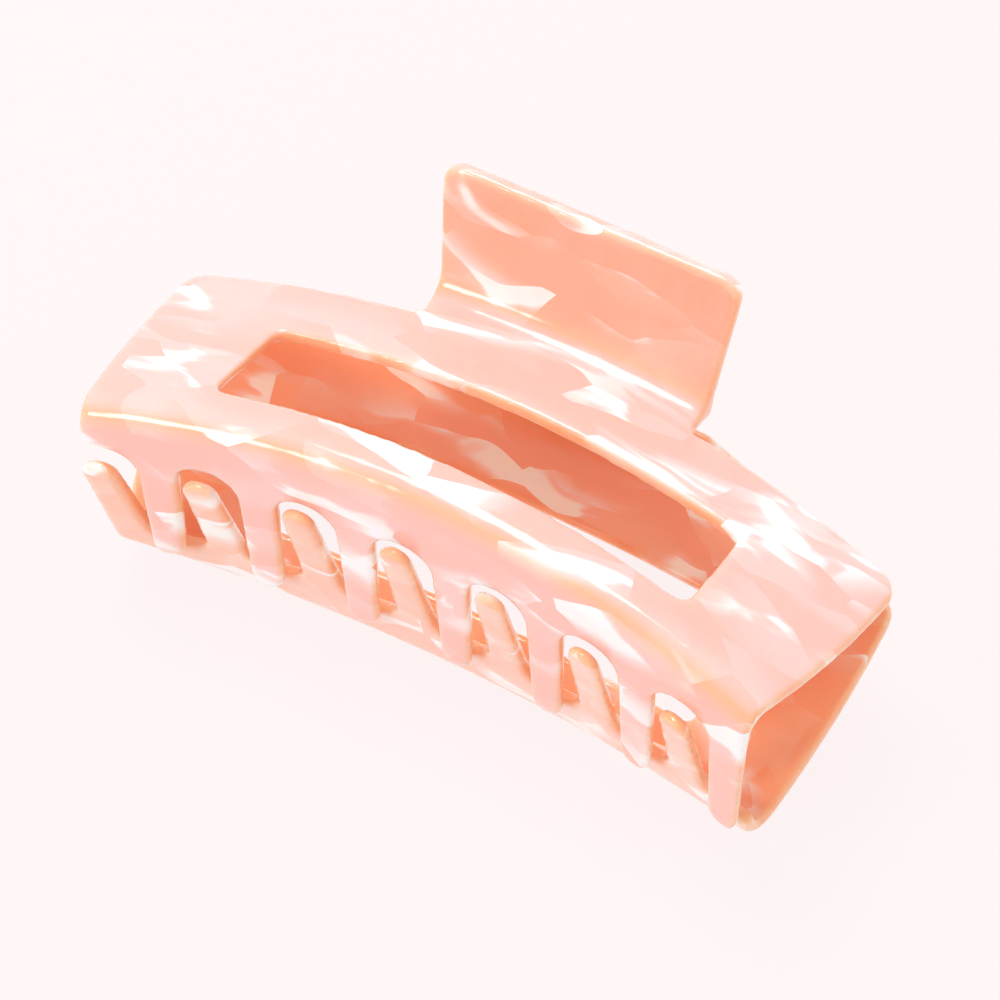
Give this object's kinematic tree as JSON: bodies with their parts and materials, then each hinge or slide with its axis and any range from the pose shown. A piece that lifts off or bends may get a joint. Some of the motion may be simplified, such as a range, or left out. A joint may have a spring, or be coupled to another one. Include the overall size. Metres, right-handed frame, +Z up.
{
  "type": "claw clip",
  "caption": "Rectangular claw clip for hair: two bowed, windowed jaws with interlocking teeth, closed by a torsion spring on a hinge pin between two thumb tabs.",
  "frame": {"origin": "middle of the underside of the closed clip's bounding box, on the surface that it rests on", "axes": "+X along the hinge pin and the length of the jaws, +Y from the teeth back to the thumb tabs, +Z up"},
  "size_m": [0.1078, 0.0592, 0.0514],
  "materials": {
    "jaw_plastic": "glossy, translucent coral with pearl marbling",
    "pin_steel": "bright drawn wire",
    "spring_steel": "nickel-plated spring wire"
  },
  "bodies": {
    "lower": {"lower_jaw": "jaw_plastic", "hinge_pin": "pin_steel", "torsion_spring": "spring_steel"},
    "upper": {"upper_jaw": "jaw_plastic"}
  },
  "joints": [
    {"name": "jaw_hinge", "type": "hinge", "parent": "lower", "child": "upper", "pos_m": [0, 0.01638, 0.02496], "axis": [-1, 0, 0], "range_deg": [0, 90], "stiffness_Nm_per_rad": 0.126, "springref_deg": -51.57, "deforming": ["torsion_spring"]}
  ]
}
